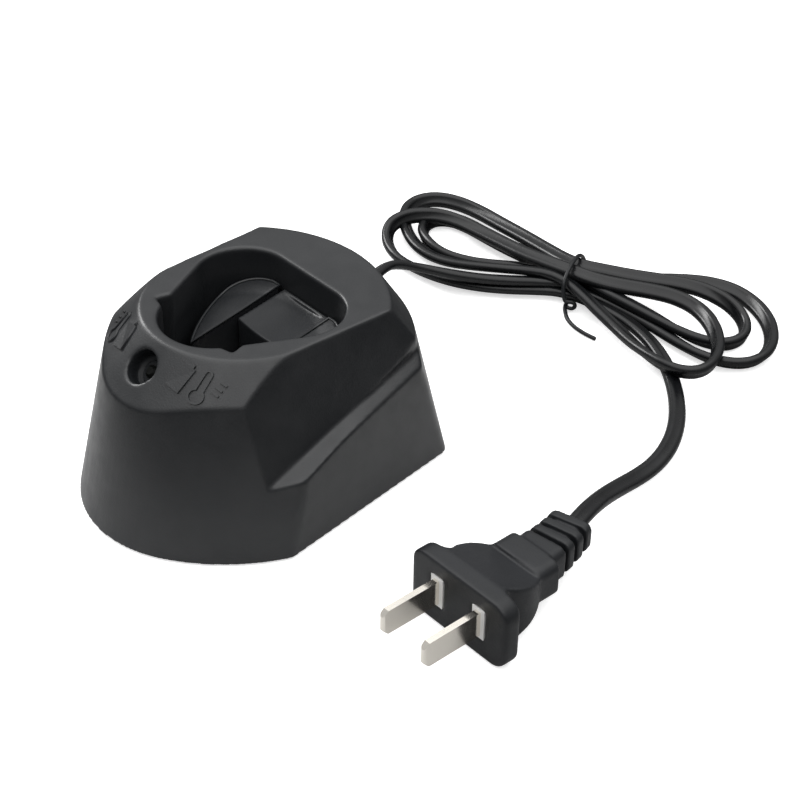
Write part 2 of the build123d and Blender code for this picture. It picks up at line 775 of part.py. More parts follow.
with BuildPart() as cord_relief:
    with BuildSketch(relief_side):
        with BuildLine():
            pitch = (relief_length - 6) / relief_grooves
            profile = [
                (-5.9, 0), (-5.9, relief_collar + 0.3), (-4.1, relief_collar + 0.3), (-4.1, relief_neck),
                (1.6, relief_neck), (1.6, relief_collar), (4.0, relief_collar),
            ]
            for i in range(relief_grooves):
                near = 4.0 + i * pitch
                radius = relief_neck + (relief_tip - relief_neck) * i / relief_grooves
                profile += [(near, radius - 1.0), (near + pitch * 0.7, radius), (near + pitch, radius - 0.2)]
            profile += [(relief_length, relief_tip), (relief_length, 0)]
            Polyline(*profile, close=True)
        make_face()
    revolve(axis=Axis(exit_point, exit_direction))
export(cord_relief, "cord_relief")


def corner_radii(route):
    """The largest even radius at each corner: 0.45 of the shorter run over the half turn's tangent."""
    points = [Vector(*p) for p in route]
    radii = []
    for before, corner, after in zip(points, points[1:], points[2:]):
        run_in = corner - before
        run_out = after - corner
        half_turn = radians(run_in.get_angle(run_out)) / 2
        radii.append(0.45 * min(run_in.length, run_out.length) / tan(half_turn))
    return radii


def cord_tube_along(route, name):
    """A plain eight-sided tube along straight runs joined by tangent arcs."""
    radii = corner_radii(route)
    with BuildPart() as tube:
        with BuildLine() as path:
            FilletPolyline(*route, radius=radii)
        with BuildSketch(Plane(path.line @ 0, z_dir=path.line % 0)):
            RegularPolygon(cord_tube / 2, 8)
        sweep()
    export(tube, name)
    length = path.wires()[0].length
    expected = sqrt(8) * (cord_tube / 2) ** 2 * length
    print(f"  length {length:.1f}  volume ratio {tube.part.volume / expected:.4f}",
          " radii", [round(r) for r in radii])


# the route starts and ends square to the two strain reliefs
lead_start = exit_point + exit_direction * relief_length
lead_next = lead_start + exit_direction * 5.5
lead_route = [
    tuple(lead_start), tuple(lead_next), (-31.0, 70.0, 11.2), (-29.2, 75.6, 9.0),
    (-25.6, 80.6, 7.2), (-21.0, 85.2, 6.1), (-16.6, 90.2, 5.2), (-12.2, 95.2, 4.8),
]
cord_tube_along(lead_route, "cord_lead")

tail_end = bent_plane(relief_end)
tail_before = tail_end.origin + tail_end.z_dir * 6
tail_route = [
    (41.3, 99.2, 2.2), (46.6, 95.2, 2.2), (51.6, 90.8, 2.2), (56.6, 85.4, 2.2),
    (60.8, 79.4, 2.2), (63.9, 73.0, 2.2), (65.7, 66.5, 2.3), (66.5, 60.2, 2.8),
    (67.3, 53.6, 4.0), (68.8, 47.0, 5.8), (70.7, 41.4, 7.6), tuple(tail_before), tuple(tail_end.origin),
]
cord_tube_along(tail_route, "cord_tail")

with BuildPart() as cord_hank:
    with BuildSketch(Plane.XY.offset(hank_bottom)):
        with BuildLine():
            FilletPolyline(
                (-5, 102.2), (-16, 89), (-37, 80.2), (-55, 82), (-65.2, 102), (-62, 116.5),
                (-45, 119.2), (-6, 115.4), (4, 121), (18, 139.5), (34, 143), (50.5, 133), (55.6, 118),
                (51, 96.5), (40, 93.5), (16, 99.6), radius=hank_bend, close=True,
            )
        make_face()
    extrude(amount=hank_height)
    chamfer(cord_hank.faces().filter_by(Axis.Z).edges(), hank_bevel)
    # the turns lie lower towards both ends
    for side in (-1, 1):
        ridge = (tie_x, tie_y, hank_bottom + hank_height)
        split(bisect_by=Plane(ridge, x_dir=(0, 1, 0), z_dir=(side * hank_fall, 0, 1)), keep=Keep.BOTTOM)
    # groove under the tie
    with BuildSketch(Plane.YZ.offset(tie_x - tie_width / 2)):
        with Locations((tie_y, hank_bottom + hank_height / 2)):
            Rectangle(3 * tie_span, 2 * hank_height)
            RectangleRounded(tie_span, hank_height - 2 * tie_depth, 2.5, mode=Mode.SUBTRACT)
    extrude(amount=tie_width, mode=Mode.SUBTRACT)
export(cord_hank, "cord_hank")

with BuildPart() as cord_tie:
    with BuildSketch(Plane.YZ.offset(tie_x - tie_width / 2)):
        with Locations((tie_y, hank_bottom + hank_height / 2)):
            RectangleRounded(tie_span + 2 * tie_depth, hank_height, 3.5)
            RectangleRounded(tie_span, hank_height - 2 * tie_depth, 2.5, mode=Mode.SUBTRACT)
    extrude(amount=tie_width)
export(cord_tie, "cord_tie")
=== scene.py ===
# %% [markdown]
# # A battery charger with its tied cord and plug
# This lesson dresses a small black charger: a moulded housing with an open battery socket,
# a flat twin cord tied in a hank, and a two-blade plug. The construction pieces come from the
# frame, in metres, with +Z up, -Y at the front and the origin under the middle of the housing.
# We keep the pieces that already have the right shape, give each one a finish, and model anew
# only what needs softer or finer forms than the construction has: the skin of the housing, the
# contact block and the plug, the rims and signs on the housing, the wire tie and the cord.

# %% Load the frame
import json
from math import asin, cos, pi, radians, sin

import bmesh
import bpy
from mathutils import Matrix, Vector


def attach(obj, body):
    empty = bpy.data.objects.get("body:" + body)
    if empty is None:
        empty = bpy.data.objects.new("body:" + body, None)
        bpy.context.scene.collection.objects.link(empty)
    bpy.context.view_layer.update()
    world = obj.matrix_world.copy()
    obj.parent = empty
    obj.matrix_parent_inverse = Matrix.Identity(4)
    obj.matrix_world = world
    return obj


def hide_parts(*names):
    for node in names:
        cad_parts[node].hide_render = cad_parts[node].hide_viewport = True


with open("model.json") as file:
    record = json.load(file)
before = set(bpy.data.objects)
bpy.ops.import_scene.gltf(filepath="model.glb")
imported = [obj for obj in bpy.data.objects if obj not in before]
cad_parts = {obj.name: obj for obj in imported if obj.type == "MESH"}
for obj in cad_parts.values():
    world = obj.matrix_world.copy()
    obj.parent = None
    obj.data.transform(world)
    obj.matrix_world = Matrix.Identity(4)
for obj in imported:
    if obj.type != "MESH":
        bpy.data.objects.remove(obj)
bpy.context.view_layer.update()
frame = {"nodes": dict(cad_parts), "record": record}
nodes = frame["nodes"]

# %% [markdown]
# ## Two helpers for objects
# A new object has to be linked into the scene, and the operators that change a mesh work on the
# object that is selected and active. Both come back all through the lesson, for the copies, the
# signs, the tie and the cord, so each gets a helper.

# %% Helpers for objects


def add_object(name, data):
    """A new object with this data, linked into the scene."""
    thing = bpy.data.objects.new(name, data)
    bpy.context.scene.collection.objects.link(thing)
    return thing


def make_active(piece):
    """Select one object alone, for the operators that follow."""
    bpy.ops.object.select_all(action="DESELECT")
    piece.select_set(True)
    bpy.context.view_layer.objects.active = piece


# %% [markdown]
# ## Camera
# The camera stands at the right front and looks down on the object, with an 85 mm lens on a
# 36 mm sensor, which is what a product is usually shown with: a short lens would make the front
# too big. We could aim it with a Track To constraint, but that allows no roll. So we give its
# place, the compass turn, the tilt down and a slight roll, and build the turn as one matrix: the
# roll comes first, about the camera's own axis, then the tilt, then the compass turn about the
# vertical.

# %% Camera
camera_place = Vector((0.28854, -0.21201, 0.2759))
camera_turn = radians(48.3)
camera_tilt = radians(35.96)
camera_roll = radians(0.79)

camera_data = bpy.data.cameras.new("camera")
camera_data.lens = 85
camera_data.sensor_width = 36
camera = add_object("camera", camera_data)
camera.matrix_world = (
    Matrix.Translation(camera_place)
    @ Matrix.Rotation(camera_turn, 4, "Z")
    @ Matrix.Rotation(pi / 2 - camera_tilt, 4, "X")
    @ Matrix.Rotation(camera_roll, 4, "Z")
)
bpy.context.scene.camera = camera
bpy.context.scene.view_settings.view_transform = "Standard"
print("camera distance from the origin", round(camera_place.length, 3))

# %% [markdown]
# ## A helper for finishes
# Every finish here is a Principled shader with a little noise on top: noise that changes the
# colour slightly, noise that changes the roughness, and fine noise that becomes a bump. One
# helper makes the shader and returns its tree, and each finish then adds what it needs. The
# patterns read Object coordinates, so they stay put when a piece moves.

# %% Helpers for finishes
noise_low, noise_high = 0.3, 0.7     # nearly all of a noise pattern lies between these
cloud_scale = 60.0                   # of the slow change in colour
gloss_scale = 220.0                  # of the change in roughness


def new_finish(name, colour, roughness, metallic=0.0, specular=0.5):
    """A material with a Principled shader, and the coordinates its patterns read."""
    finish = bpy.data.materials.new(name)
    finish.use_nodes = True
    tree = finish.node_tree
    shader = tree.nodes["Principled BSDF"]
    shader.inputs["Base Color"].default_value = (*colour, 1)
    shader.inputs["Roughness"].default_value = roughness
    shader.inputs["Metallic"].default_value = metallic
    shader.inputs["Specular IOR Level"].default_value = specular
    coordinates = tree.nodes.new("ShaderNodeTexCoord")
    return finish, tree, shader, coordinates.outputs["Object"]


def noise(tree, place, scale, detail=3.0):
    """A noise pattern at one scale, returned as its value from 0 to 1."""
    pattern = tree.nodes.new("ShaderNodeTexNoise")
    pattern.inputs["Scale"].default_value = scale
    pattern.inputs["Detail"].default_value = detail
    tree.links.new(place, pattern.inputs["Vector"])
    return pattern.outputs["Fac"]


def spread(tree, value, low, high):
    """Map a value from the middle of a noise pattern onto the range low to high."""
    mapped = tree.nodes.new("ShaderNodeMapRange")
    mapped.inputs["From Min"].default_value = noise_low
    mapped.inputs["From Max"].default_value = noise_high
    mapped.inputs["To Min"].default_value = low
    mapped.inputs["To Max"].default_value = high
    tree.links.new(value, mapped.inputs["Value"])
    return mapped.outputs["Result"]


def blend_colours(tree, value, first, second):
    """A colour that goes from first to second as the value goes from 0 to 1."""
    mix = tree.nodes.new("ShaderNodeMix")
    mix.data_type = "RGBA"
    mix.inputs["A"].default_value = (*first, 1)
    mix.inputs["B"].default_value = (*second, 1)
    tree.links.new(value, mix.inputs["Factor"])
    return mix.outputs["Result"]


def bump(tree, shader, height, depth):
    """Turn a height pattern into small relief of the given depth on the shader."""
    relief = tree.nodes.new("ShaderNodeBump")
    relief.inputs["Distance"].default_value = depth
    tree.links.new(height, relief.inputs["Height"])
    tree.links.new(relief.outputs["Normal"], shader.inputs["Normal"])


def grained(name, dark, light, roughness, grain, depth, metallic=0.0, specular=0.5):
    """A finish with cloudy colour, uneven gloss and a fine grain of the given scale and depth."""
    finish, tree, shader, place = new_finish(name, dark, sum(roughness) / 2, metallic, specular)
    clouds = spread(tree, noise(tree, place, cloud_scale), 0, 1)
    tree.links.new(blend_colours(tree, clouds, dark, light), shader.inputs["Base Color"])
    gloss = spread(tree, noise(tree, place, gloss_scale), *roughness)
    tree.links.new(gloss, shader.inputs["Roughness"])
    bump(tree, shader, noise(tree, place, grain, detail=2.0), depth)
    return finish


# %% [markdown]
# ## Finishes
# The housing is satin ABS with a very fine spark-eroded grain. The cord is soft PVC, blacker
# and glossier, and the plug is moulded of the same PVC but duller. The blades are nickel-plated
# brass, smooth enough to mirror the paper. What is inside the housing gets its own plain
# finishes: brown laminate, grey ferrite, tinned pins, sleeved cans.

# %% Finishes
housing_specular = 0.45

# each finish: its name, the darker and the lighter colour, the range of roughness, the scale of
# the grain and its depth in metres
finishes = {
    "housing": grained("satin_black_abs", (0.011, 0.012, 0.0135), (0.017, 0.018, 0.0195),
                       (0.32, 0.42), 2600.0, 0.00003, specular=housing_specular),
    "foot": grained("black_rubber", (0.010, 0.010, 0.010), (0.020, 0.020, 0.020),
                    (0.70, 0.85), 900.0, 0.00005, specular=0.3),
    "screw": grained("zinc_plated_steel", (0.50, 0.51, 0.53), (0.62, 0.62, 0.62),
                     (0.30, 0.42), 1500.0, 0.00001, metallic=1.0),
    "lamp": grained("smoked_lens", (0.0022, 0.0026, 0.0022), (0.0036, 0.0040, 0.0036),
                    (0.45, 0.55), 1800.0, 0.00001, specular=0.12),
    "tinned": grained("tinned_wire", (0.55, 0.55, 0.57), (0.68, 0.68, 0.70),
                      (0.25, 0.38), 1500.0, 0.00001, metallic=1.0),
    "board": grained("phenolic_laminate", (0.32, 0.21, 0.08), (0.40, 0.28, 0.12),
                     (0.45, 0.60), 700.0, 0.00003),
    "ferrite": grained("ferrite", (0.045, 0.045, 0.050), (0.075, 0.075, 0.080),
                       (0.60, 0.75), 1200.0, 0.00005),
    "bobbin": grained("bobbin_resin", (0.018, 0.018, 0.018), (0.030, 0.030, 0.030),
                      (0.35, 0.45), 1500.0, 0.00002),
    "winding": grained("wound_tape", (0.62, 0.46, 0.05), (0.72, 0.55, 0.09),
                       (0.30, 0.42), 500.0, 0.00006),
    "can": grained("sleeved_can", (0.015, 0.020, 0.055), (0.022, 0.030, 0.075),
                   (0.22, 0.32), 900.0, 0.00002),
    "chip": grained("epoxy_package", (0.016, 0.016, 0.016), (0.030, 0.030, 0.030),
                    (0.50, 0.65), 1800.0, 0.00003),
    "fuse": grained("ceramic_tube", (0.66, 0.63, 0.54), (0.76, 0.74, 0.66),
                    (0.30, 0.42), 900.0, 0.00002),
    "disc": grained("dipped_epoxy", (0.03, 0.10, 0.30), (0.05, 0.14, 0.38),
                    (0.25, 0.35), 500.0, 0.00004),
    "contact": grained("nickel_spring", (0.62, 0.59, 0.52), (0.74, 0.71, 0.64),
                       (0.22, 0.34), 1500.0, 0.00001, metallic=1.0),
    "cord": grained("gloss_black_pvc", (0.0035, 0.0038, 0.0044), (0.0055, 0.0060, 0.0068),
                    (0.24, 0.32), 700.0, 0.00003, specular=0.33),
    "tie": grained("plastic_coated_wire", (0.004, 0.005, 0.006), (0.007, 0.008, 0.009),
                   (0.35, 0.45), 900.0, 0.00003, specular=0.3),
    "plug": grained("satin_black_pvc", (0.008, 0.009, 0.0105), (0.013, 0.014, 0.0165),
                    (0.42, 0.52), 1700.0, 0.00004, specular=0.36),
    "insert": grained("white_resin", (0.74, 0.74, 0.73), (0.82, 0.82, 0.81),
                      (0.40, 0.50), 1500.0, 0.00001),
    "blade": grained("nickel_plated_brass", (0.80, 0.76, 0.69), (0.90, 0.86, 0.79),
                     (0.12, 0.20), 1500.0, 0.000004, metallic=1.0),
}
print("finishes:", len(finishes))

# %% [markdown]
# ## Painted shade in the hollows
# Deep in the socket and in the lamp hole the housing gets less sheen: a painted shade, which
# stands in for the shade that falls in these hollows. We could give these places a material of
# their own, but its border would have to follow the faces of the mesh, and the soft skin made
# below has new faces. So the one finish reads where it is: within an egg-shaped space in the
# socket, and within a ball in the lamp hole, its specular is lower.

# %% Painted shade: the housing is duller deep in the socket and in the lamp hole
# painted shade: less specular deep in the socket and in the lamp hole stands in for the shade
# there
painted_shade_specular = 0.16
socket_middle = (0, -0.002, 0.030)
socket_half_size = (0.0208, 0.0190, 0.0142)
lamp_hole_middle = (0, -0.0278, 0.0374)
lamp_hole_half_size = (0.0047, 0.0047, 0.0047)
fade_start = 0.92                    # share of the half size where the change to outside starts


def inside(tree, place, middle, half_size):
    """1 inside an egg-shaped space of the given middle and half size, 0 outside it."""
    moved = tree.nodes.new("ShaderNodeVectorMath")
    moved.operation = "SUBTRACT"
    moved.inputs[1].default_value = middle
    tree.links.new(place, moved.inputs[0])
    scaled = tree.nodes.new("ShaderNodeVectorMath")
    scaled.operation = "DIVIDE"
    scaled.inputs[1].default_value = half_size
    tree.links.new(moved.outputs["Vector"], scaled.inputs[0])
    reach = tree.nodes.new("ShaderNodeVectorMath")
    reach.operation = "LENGTH"
    tree.links.new(scaled.outputs["Vector"], reach.inputs[0])
    near = tree.nodes.new("ShaderNodeMapRange")
    near.inputs["From Min"].default_value = 1.0
    near.inputs["From Max"].default_value = fade_start
    near.inputs["To Max"].default_value = 1.0
    tree.links.new(reach.outputs["Value"], near.inputs["Value"])
    return near.outputs["Result"]


tree = finishes["housing"].node_tree
place = tree.nodes["Texture Coordinate"].outputs["Object"]
# where the housing gets its painted shade: inside either space
painted_shade_mask = tree.nodes.new("ShaderNodeMath")
painted_shade_mask.operation = "MAXIMUM"
tree.links.new(inside(tree, place, socket_middle, socket_half_size), painted_shade_mask.inputs[0])
tree.links.new(inside(tree, place, lamp_hole_middle, lamp_hole_half_size), painted_shade_mask.inputs[1])
sheen = tree.nodes.new("ShaderNodeMapRange")
sheen.inputs["To Min"].default_value = housing_specular
sheen.inputs["To Max"].default_value = painted_shade_specular
tree.links.new(painted_shade_mask.outputs["Value"], sheen.inputs["Value"])
tree.links.new(sheen.outputs["Result"], tree.nodes["Principled BSDF"].inputs["Specular IOR Level"])
print("specular of the housing:", housing_specular, "outside,", painted_shade_specular, "in the hollows")

# %% [markdown]
# ## Finishes on the construction pieces
# The record that came with the frame names a material slot for every node, and the finishes
# above are named after these slots. So one lookup dresses all the pieces, the ones inside the
# housing too, and the soft copies made below keep what their pieces wear.

# %% Give every construction piece its finish
finish_of_node = {part["node"]: part["material_slot"] for part in frame["record"]["subparts"]}
for name, piece in nodes.items():
    piece.data.materials.clear()
    piece.data.materials.append(finishes[finish_of_node[name]])
print("dressed pieces:", len(nodes))

# %% [markdown]
# ## Soft edges
# Moulded plastic has no sharp edges: the corners of the housing and the plug are rounded by up
# to a millimetre, and those rounded edges catch the light. A Bevel would have to find its way
# through hundreds of short edges where cones and planes meet, so we go another way: rebuild the
# skin on a fine even grid with a voxel Remesh, let a Smooth modifier wear it down a little, as
# polishing would, and thin it again where it is flat. The grid needs a closed skin, and the
# construction's faces don't share their corners, so each copy is merged first. Some places are
# crisper than the rest, such as the inside of the socket. They take part in the first rounds of
# smoothing only, which wear away little more than the steps of the grid.

# %% Helpers that copy and soften a piece
merge_distance = 0.000001            # corners closer than this are one corner


def copy_of(node, name):
    """A copy of a construction piece with its corners merged, selected and active."""
    piece = add_object(name, nodes[node].data.copy())
    make_active(piece)
    bpy.ops.object.mode_set(mode="EDIT")
    bpy.ops.mesh.select_all(action="SELECT")
    bpy.ops.mesh.remove_doubles(threshold=merge_distance)
    bpy.ops.object.mode_set(mode="OBJECT")
    return piece


def soften(piece, node, cell, first_rounds, rounds, share, kept=None):
    """Round the edges of a copy, which then takes the place of the construction piece.

    The first rounds of smoothing work everywhere, and the others leave alone the places for
    which kept is true. The share is how much of the fine mesh is left at the end."""
    make_active(piece)
    grid = piece.modifiers.new("grid", "REMESH")
    grid.mode = "VOXEL"
    grid.voxel_size = cell
    bpy.ops.object.modifier_apply(modifier=grid.name)
    worn = piece.vertex_groups.new(name="worn")
    for vertex in piece.data.vertices:
        if kept is None or not kept(vertex.co):
            worn.add([vertex.index], 1, "REPLACE")
    for iterations, group in ((first_rounds, ""), (rounds, "worn")):
        wear = piece.modifiers.new("wear", "SMOOTH")
        wear.factor = 0.5
        wear.iterations = iterations
        wear.vertex_group = group
        bpy.ops.object.modifier_apply(modifier=wear.name)
    piece.vertex_groups.clear()
    thin = piece.modifiers.new("thin", "DECIMATE")
    thin.ratio = share
    bpy.ops.object.modifier_apply(modifier=thin.name)
    bpy.ops.object.shade_smooth()
    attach(piece, "root")
    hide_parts(node)
    print(piece.name, "faces", len(piece.data.polygons))


# %% [markdown]
# ## The ledge of the housing
# A ledge runs along each side, below the upright facet. On the real housing it is an even,
# slanting band that ends in a round shoulder, and towards the back it sinks deeper behind that
# shoulder. The construction has a simpler ledge, a twisted face between two straight edges. We
# could model this side again from nothing, but everything round it is right, so we only move the
# corners of that face on the copy: its outer edge goes up, its inner edge goes deeper towards
# the back, and every corner between them moves in proportion.

# %% The construction's ledge, measured at one place along the side
# lengths are in metres at the level of the origin, and each rate says how they change from there
housing_height = 0.045
side_across, side_taper, side_lean = 0.03256, 0.13, 0.015        # the straight side
top_across, top_widening, facet_lean = 0.0231, 0.035, 0.28       # the upright facet
inner_height, inner_rise = 0.025, 0.343                          # the ledge's inner edge
front_place, front_slope = -0.034, -0.6                          # its cross slope, which grows
back_place, back_slope = 0.050, 5.5                              # from the front to the back


def ledge_at(along):
    """Height and place across of the ledge's inner edge, its cross slope and its width."""
    edge_height = inner_height + inner_rise * along
    edge_across = top_across + top_widening * along + facet_lean * (housing_height - edge_height)
    grown = (along - front_place) / (back_place - front_place)
    slope = front_slope + (back_slope - front_slope) * grown
    room = side_across - side_lean * edge_height - side_taper * along - edge_across
    return edge_height, edge_across, slope, room / (1 - side_lean * slope)


for along in (-0.02, 0, 0.02, 0.04):
    print("ledge at", along, " width", round(ledge_at(along)[3], 4))

# %% The ledge's corners, moved on a copy of the housing
ledge_start, ledge_end = -0.021, 0.043
near_face = 0.0001                   # corners this close to the ledge's face belong to it
play = 0.02                          # and may lie beyond its edges by this share of its width
least_width = 0.0002                 # for places where the ledge has run out
band_drop, band_growth = 0.00135, 0.105          # how far the band drops from edge to edge
band_least_slope = 0.35
sink_depth = 0.0018                              # of the inner edge towards the back
sink_way = Vector((-0.64, 0.47, -0.61))          # the way it sinks, on the right side
sink_from, sink_whole = 0.008, 0.024             # where it starts and where it is deepest
rise_from, rise_whole = 0.030, 0.042             # where it comes up again


def ramp(value, start, end):
    """0 before the start, 1 after the end and even in between."""
    return min(max((value - start) / (end - start), 0), 1)


housing = copy_of("upper_housing", "soft_housing")
bpy.ops.object.mode_set(mode="EDIT")
mesh = bmesh.from_edit_mesh(housing.data)
moved = 0
for corner in mesh.verts:
    across, along, height = abs(corner.co.x), corner.co.y, corner.co.z
    edge_height, edge_across, slope, width = ledge_at(along)
    outwards = (across - edge_across) / max(width, least_width)
    above = height - edge_height + slope * (across - edge_across)
    on_ledge = abs(above) < near_face and -play < outwards < 1 + play
    if on_ledge and ledge_start < along < ledge_end:
        sunk = sink_depth * ramp(along, sink_from, sink_whole)
        sunk = sunk * (1 - ramp(along, rise_from, rise_whole))
        side = 1 if corner.co.x > 0 else -1
        way = Vector((side * sink_way.x, sink_way.y, sink_way.z))
        corner.co += way * sunk * (1 - outwards)
        drop = max(band_drop + band_growth * along, band_least_slope * width)
        corner.co.z += max(slope * width - drop, 0) * outwards
        moved += 1
bmesh.update_edit_mesh(housing.data)
bpy.ops.object.mode_set(mode="OBJECT")
print("corners of the ledges moved:", moved)

# %% [markdown]
# ## The skin of the housing
# The housing is one moulding with a wall of about two millimetres. Its outer edges are well
# rounded. Inside the socket, where the core of the mould slides out, and along the lower rim,
# where the mould parts, they are crisper. A grid of a third of a millimetre is fine enough for
# both, and the result is still light once it is thinned.

# %% The softened housing
socket_across, socket_front, socket_back = 0.019, -0.021, 0.0155
socket_bottom, socket_top = 0.016, 0.0435
lower_rim = 0.003


def inside_housing(place):
    """True inside the socket and close to the lower rim, where the housing keeps its edges."""
    in_outline = abs(place.x) < socket_across and socket_front < place.y < socket_back
    in_socket = in_outline and socket_bottom < place.z < socket_top
    return in_socket or place.z < lower_rim


soften(housing, "upper_housing", cell=0.00036, first_rounds=2, rounds=14, share=0.2,
       kept=inside_housing)

# %% [markdown]
# ## Rims of the side seats
# In the socket, the two side seats are edged with a fine raised rim, which shows as a light line.
# It is thinner than the grid of the soft skin can hold. So we draw it on its own: a copy of the
# housing keeps nothing but the outlines of the two seat tops, they become a curve, and the curve
# gets a round section.

# %% The rims of the side seats
seat_lowest, seat_highest, seat_inner = 0.030, 0.040, 0.009
facing_up = 0.9                      # least upward share of a seat top's normal
rim_radius = 0.00036

rims = copy_of("upper_housing", "seat_rims")
bpy.ops.object.mode_set(mode="EDIT")
bpy.ops.mesh.select_mode(type="FACE")
bpy.ops.mesh.select_all(action="DESELECT")
mesh = bmesh.from_edit_mesh(rims.data)
for face in mesh.faces:
    middle = face.calc_center_median()
    at_seat = seat_lowest < middle.z < seat_highest and abs(middle.x) > seat_inner
    face.select = at_seat and face.normal.z > facing_up
bmesh.update_edit_mesh(rims.data)
bpy.ops.mesh.select_all(action="INVERT")
bpy.ops.mesh.delete(type="FACE")
bpy.ops.mesh.select_all(action="SELECT")
bpy.ops.mesh.dissolve_limited(angle_limit=radians(1))    # joins the triangles of each top
bpy.ops.mesh.delete(type="ONLY_FACE")                    # and leaves only its outline
bpy.ops.object.mode_set(mode="OBJECT")
bpy.ops.object.convert(target="CURVE")
rims.data.bevel_depth = rim_radius
rims.data.bevel_resolution = 3
bpy.ops.object.convert(target="MESH")
bpy.ops.object.shade_smooth()
rims.data.materials.append(finishes["housing"])
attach(rims, "root")
print("seat rims, faces", len(rims.data.polygons))

# %% [markdown]
# ## The contact block
# The block in the middle of the socket is a small moulding of its own, with a dished top inside
# a thin rim. It is softened like the housing, on a finer grid and with little smoothing, so that
# the rim stays.

# %% The softened contact block
carrier = copy_of("contact_carrier", "soft_carrier")
soften(carrier, "contact_carrier", cell=0.00022, first_rounds=2, rounds=4, share=0.5)

# %% [markdown]
# ## The plug
# The body of the plug is moulded from soft PVC round the blades and the end of the cord. Its
# flange has well rounded edges, and its neck with the ribs is crisper. So the whole plug is
# smoothed for seven rounds, and only the flange for the others.

# %% The softened plug
neck_end = Vector((0.0743, 0.0301, 0.0087))      # where the cord leaves the plug
neck_length = 0.021


def near_neck(place):
    """True for the neck and the ribs of the plug, which are crisper than its flange."""
    return (place - neck_end).length < neck_length


plug = copy_of("plug_body", "soft_plug")
soften(plug, "plug_body", cell=0.00028, first_rounds=7, rounds=26, share=0.5, kept=near_neck)

# %% [markdown]
# ## Raised signs
# On the front slope, right and left of the lamp hole, the mould leaves three raised signs: a
# battery, a thermometer and three short strokes for heat. They are cut into the mould as flat
# pockets, so we draw them flat, as filled outlines in millimetres: along the slope from its
# middle and down the slope from its upper edge. An outline inside another becomes a hole, which
# gives the thermometer its rim. Then each point is wrapped on the cone of the slope.

# %% The outlines of the signs
stroke_half_width = 0.25
battery_sign = [
    (7.86, 7.67), (9.84, 1.83), (10.41, 2.03), (10.71, 1.18), (13.35, 2.11), (13.05, 2.96),
    (13.64, 3.17), (11.23, 8.92),
]


def arc(middle, radius, start, turn, steps):
    """Points on an arc that starts at one angle and goes on through a turn."""
    angles = [start + turn * i / steps for i in range(steps + 1)]
    return [(middle.x + radius * cos(angle), middle.y + radius * sin(angle)) for angle in angles]


def thermometer_sign(inset):
    """Outline of a bulb with a tube, drawn in by inset."""
    bulb, tube_end = Vector((14.95, 8.6)), Vector((16.85, 3.55))
    bulb_radius, tube_radius = 1.85 - inset, 1.08 - inset
    upwards = (tube_end - bulb).angle_signed(Vector((1, 0)))
    neck = asin(tube_radius / bulb_radius)
    return (arc(bulb, bulb_radius, upwards + neck, 2 * pi - 2 * neck, 24)
            + arc(tube_end, tube_radius, upwards - pi / 2, pi, 12))


def stroke_sign(start, end):
    """Outline of one short straight stroke."""
    start, end = Vector(start), Vector(end)
    side = (end - start).normalized().orthogonal() * stroke_half_width
    return [tuple(corner) for corner in (start + side, start - side, end - side, end + side)]


sign_outlines = [
    battery_sign, thermometer_sign(0), thermometer_sign(0.5),
    stroke_sign((19.77, 4.87), (21.2, 5.75)),
    stroke_sign((18.75, 5.94), (20.27, 6.97)),
    stroke_sign((18.05, 7.0), (19.57, 8.1)),
]
print("outlines:", len(sign_outlines))

# %% The signs, wrapped on the front slope, on both sides
sign_height = 0.00045                            # above the slope, and as much below it
cone_middle, cone_radius = -0.0022, 0.0233       # axis and upper edge of the cone of the slope
steep_sin, steep_cos = 0.689, 0.725              # of the angle of the slope
wrap_radius = 0.027                              # where the flat drawing keeps its true length


def on_front_slope(along, down, raised, side):
    """The place on the cone of the front slope, raised along its normal."""
    angle = along / wrap_radius
    radius = cone_radius + steep_cos * down + steep_sin * raised
    height = housing_height - steep_sin * down + steep_cos * raised
    return Vector((side * radius * sin(angle), cone_middle - radius * cos(angle), height))


for side, name in ((1, "signs_right"), (-1, "signs_left")):
    sign_data = bpy.data.curves.new(name, "CURVE")
    sign_data.dimensions = "2D"
    sign_data.fill_mode = "BOTH"
    sign_data.extrude = sign_height
    for outline in sign_outlines:
        edge = sign_data.splines.new("POLY")
        edge.points.add(len(outline) - 1)
        for point, (along, down) in zip(edge.points, outline):
            point.co = (along / 1000, down / 1000, 0, 1)
        edge.use_cyclic_u = True
    signs = add_object(name, sign_data)
    make_active(signs)
    bpy.ops.object.convert(target="MESH")
    for corner in signs.data.vertices:
        corner.co = on_front_slope(*corner.co, side)
    bpy.ops.object.mode_set(mode="EDIT")
    bpy.ops.mesh.select_all(action="SELECT")
    bpy.ops.mesh.remove_doubles(threshold=0.00001)
    bpy.ops.mesh.normals_make_consistent(inside=False)
    bpy.ops.object.mode_set(mode="OBJECT")
    signs.data.materials.append(finishes["housing"])
    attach(signs, "root")
    print(name, "faces", len(signs.data.polygons))
